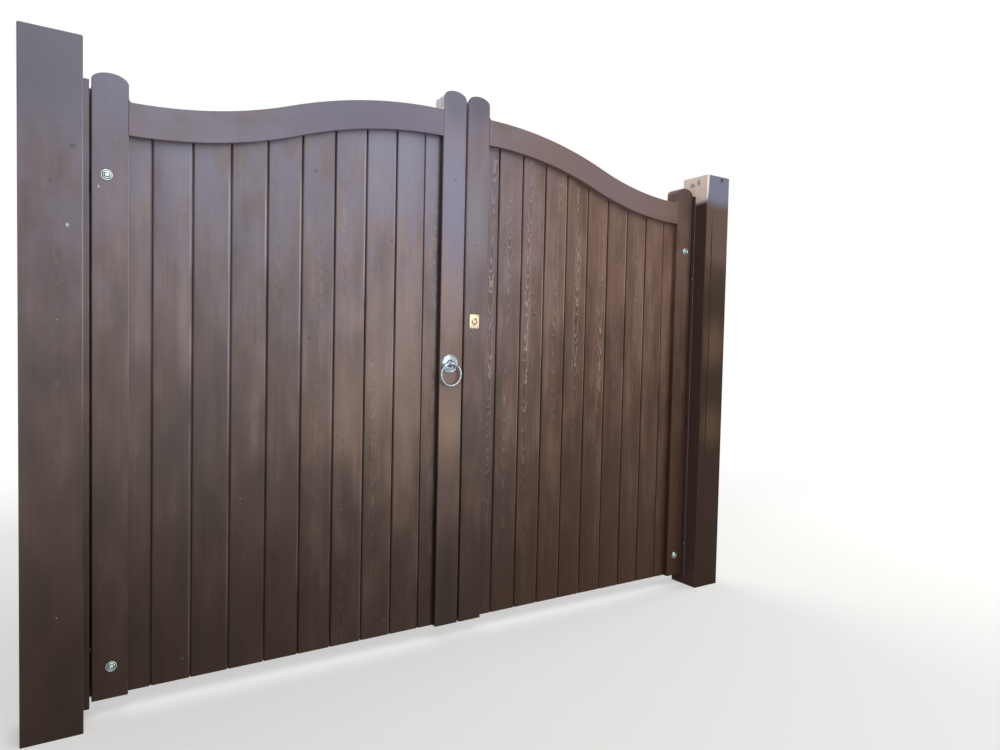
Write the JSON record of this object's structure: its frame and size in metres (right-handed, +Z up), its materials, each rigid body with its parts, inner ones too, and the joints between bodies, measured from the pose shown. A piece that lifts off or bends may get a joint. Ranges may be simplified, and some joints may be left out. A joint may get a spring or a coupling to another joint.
{
  "type": "double wooden driveway gate",
  "caption": "Pair of boarded timber driveway gates with swan-neck top rails, hung between square posts, with a ring handle and a rim lock.",
  "frame": {"origin": "middle of the left post's foot, at ground level", "axes": "+Z up, +X along the gate from the left post to the right post, +Y away from the driveway, the way the leaves open"},
  "size_m": [2.79, 0.1983, 2.0659],
  "materials": {
    "stained_timber": "walnut-brown stain, satin",
    "black_ironwork": "black japanned",
    "bright_zinc": "bright plated",
    "dull_zinc": "zinc plated",
    "brass": "polished"
  },
  "bodies": {
    "posts": {"left_post": "stained_timber", "right_post": "stained_timber", "left_packer": "stained_timber", "right_packer": "stained_timber", "left_lower_hook": "black_ironwork", "left_upper_hook": "black_ironwork", "right_lower_hook": "black_ironwork", "right_upper_hook": "black_ironwork", "left_lower_cover": "stained_timber", "left_middle_cover": "stained_timber", "left_upper_cover": "stained_timber", "right_lower_cover": "stained_timber", "right_middle_cover": "stained_timber", "right_upper_cover": "stained_timber"},
    "left_leaf": {"left_hinge_stile": "stained_timber", "left_meeting_stile": "stained_timber", "left_top_rail": "stained_timber", "left_boards": "stained_timber", "left_bottom_ledge": "stained_timber", "left_middle_ledge": "stained_timber", "left_upper_ledge": "stained_timber", "left_lower_brace": "stained_timber", "left_upper_brace": "stained_timber", "left_lower_band": "black_ironwork", "left_upper_band": "black_ironwork", "handle_rose": "bright_zinc", "handle_back_rose": "dull_zinc", "lock_keep": "dull_zinc"},
    "right_leaf": {"right_hinge_stile": "stained_timber", "right_meeting_stile": "stained_timber", "right_top_rail": "stained_timber", "right_boards": "stained_timber", "right_bottom_ledge": "stained_timber", "right_middle_ledge": "stained_timber", "right_upper_ledge": "stained_timber", "right_lower_brace": "stained_timber", "right_upper_brace": "stained_timber", "right_lower_band": "black_ironwork", "right_upper_band": "black_ironwork", "lock_plate": "brass", "lock_cylinder": "brass", "lock_case": "dull_zinc", "drop_bolt_plate": "dull_zinc", "drop_bolt_rod": "dull_zinc"},
    "handle": {"handle_spindle": "bright_zinc", "handle_lifter": "dull_zinc"},
    "ring": {"handle_ring": "bright_zinc"}
  },
  "joints": [
    {"name": "left_leaf_swing", "type": "hinge", "parent": "posts", "child": "left_leaf", "pos_m": [0.095, 0.0771, 0.15], "axis": [0, 0, 1], "range_deg": [0, 90]},
    {"name": "right_leaf_swing", "type": "hinge", "parent": "posts", "child": "right_leaf", "pos_m": [2.545, 0.0771, 0.15], "axis": [0, 0, -1], "range_deg": [0, 90]},
    {"name": "handle_turn", "type": "hinge", "parent": "left_leaf", "child": "handle", "pos_m": [1.263, -0.02, 1.053], "axis": [0, 1, 0], "range_deg": [0, 40]},
    {"name": "ring_lift", "type": "hinge", "parent": "handle", "child": "ring", "pos_m": [1.263, -0.02, 1.053], "axis": [-1, 0, 0], "range_deg": [0, 90]}
  ]
}
